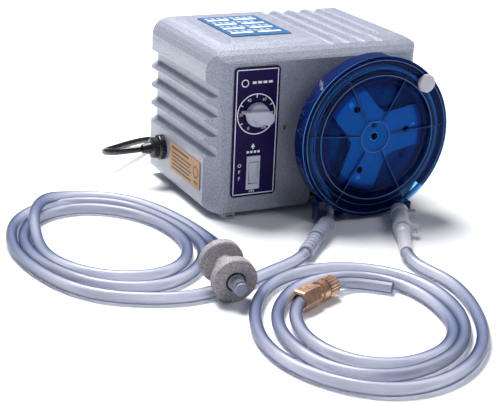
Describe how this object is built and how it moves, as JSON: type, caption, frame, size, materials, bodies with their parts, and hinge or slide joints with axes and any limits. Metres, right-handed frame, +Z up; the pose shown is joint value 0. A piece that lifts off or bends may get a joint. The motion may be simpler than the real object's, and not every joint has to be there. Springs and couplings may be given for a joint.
{
  "type": "peristaltic pump",
  "caption": "Peristaltic metering pump: ribbed grey motor housing with speed knob and rocker switch, clear blue round pump head with roller rotor, clear hoses, foot weight and brass fitting",
  "frame": {"origin": "floor level, under the middle of the pump's box without its hoses and cord", "axes": "+X to the right seen from the front, +Y to the back, +Z up"},
  "size_m": [0.4686, 0.5663, 0.1517],
  "materials": {
    "housing_grey": "hammertone",
    "panel_navy": "satin",
    "pale_grey": "satin",
    "white_plastic": "satin",
    "black_plastic": "satin",
    "blue_clear": "clear moulded",
    "blue_plastic": "moulded",
    "label_white": "printed",
    "label_orange": "printed",
    "cast_grey": "as cast",
    "steel": "turned",
    "board_green": "lacquered",
    "clear_vinyl": "clear soft",
    "vinyl_grey": "soft",
    "ceramic": "unglazed",
    "brass": "machined"
  },
  "bodies": {
    "pump": {"housing_shell": "housing_grey", "base_plate": "housing_grey", "foot_front_left": "housing_grey", "foot_front_right": "housing_grey", "foot_back_left": "housing_grey", "foot_back_right": "housing_grey", "front_panel": "panel_navy", "speed_control": "steel", "switch_frame": "pale_grey", "front_screw": "steel", "top_label": "label_white", "side_label": "label_orange", "cord_gland": "black_plastic", "gearbox": "cast_grey", "motor": "steel", "speed_board": "board_green", "head_mount": "black_plastic", "race_shell": "blue_plastic", "pump_tube": "clear_vinyl", "tube_clamp_left": "blue_plastic", "tube_clamp_right": "blue_plastic", "inlet_sleeve": "vinyl_grey", "outlet_coupling": "white_plastic", "snap_clamp_upper": "white_plastic", "snap_clamp_lower": "white_plastic", "suction_hose": "clear_vinyl", "suction_coil": "clear_vinyl", "weight_hose": "clear_vinyl", "foot_weight": "ceramic", "weight_stem": "pale_grey", "discharge_hose": "clear_vinyl", "discharge_coil": "clear_vinyl", "brass_nut": "brass", "brass_body": "brass", "brass_collar": "brass", "outlet_tube": "clear_vinyl", "power_cord": "black_plastic", "plug_cord": "black_plastic", "cord_coil": "black_plastic", "mains_plug": "black_plastic"},
    "rotor": {"drive_shaft": "steel", "rotor_hub": "steel", "rotor_back_plate": "steel", "rotor_front_plate": "steel", "roller_pin_1": "steel", "roller_pin_2": "steel", "roller_pin_3": "steel"},
    "roller_a": {"roller_1": "black_plastic"},
    "roller_b": {"roller_2": "black_plastic"},
    "roller_c": {"roller_3": "black_plastic"},
    "knob": {"speed_knob": "pale_grey"},
    "switch": {"rocker": "pale_grey"},
    "cover": {"head_cover": "blue_clear"},
    "cover_screw": {"thumb_screw": "white_plastic"}
  },
  "joints": [
    {"name": "rotor_spin", "type": "hinge", "parent": "pump", "child": "rotor", "pos_m": [0.03325, -0.0755, 0.0748], "axis": [0, 1, 0], "continuous": true},
    {"name": "roller_1_spin", "type": "hinge", "parent": "rotor", "child": "roller_a", "pos_m": [0.0085, -0.0755, 0.10429], "axis": [0, 1, 0], "continuous": true},
    {"name": "roller_2_spin", "type": "hinge", "parent": "rotor", "child": "roller_b", "pos_m": [0.02008, -0.0755, 0.03862], "axis": [0, 1, 0], "continuous": true},
    {"name": "roller_3_spin", "type": "hinge", "parent": "rotor", "child": "roller_c", "pos_m": [0.07117, -0.0755, 0.08149], "axis": [0, 1, 0], "continuous": true},
    {"name": "speed_knob_turn", "type": "hinge", "parent": "pump", "child": "knob", "pos_m": [-0.06395, -0.0517, 0.0937], "axis": [0, 1, 0], "range_deg": [-60, 240]},
    {"name": "switch_rock", "type": "hinge", "parent": "pump", "child": "switch", "pos_m": [-0.06545, -0.0447, 0.0422], "axis": [1, 0, 0], "range_deg": [0, 16]},
    {"name": "cover_lift_off", "type": "slide", "parent": "pump", "child": "cover", "axis": [0, -0.4, 0.9165], "range_m": [0, 0.06]},
    {"name": "cover_screw_turn", "type": "hinge", "parent": "cover", "child": "cover_screw", "pos_m": [0.07705, -0.0857, 0.1203], "axis": [0, 1, 0], "continuous": true}
  ],
  "couplings": [
    {"joint": "roller_1_spin", "follows": "rotor_spin", "ratio": -2.9543},
    {"joint": "roller_2_spin", "follows": "rotor_spin", "ratio": -2.9543},
    {"joint": "roller_3_spin", "follows": "rotor_spin", "ratio": -2.9543}
  ]
}
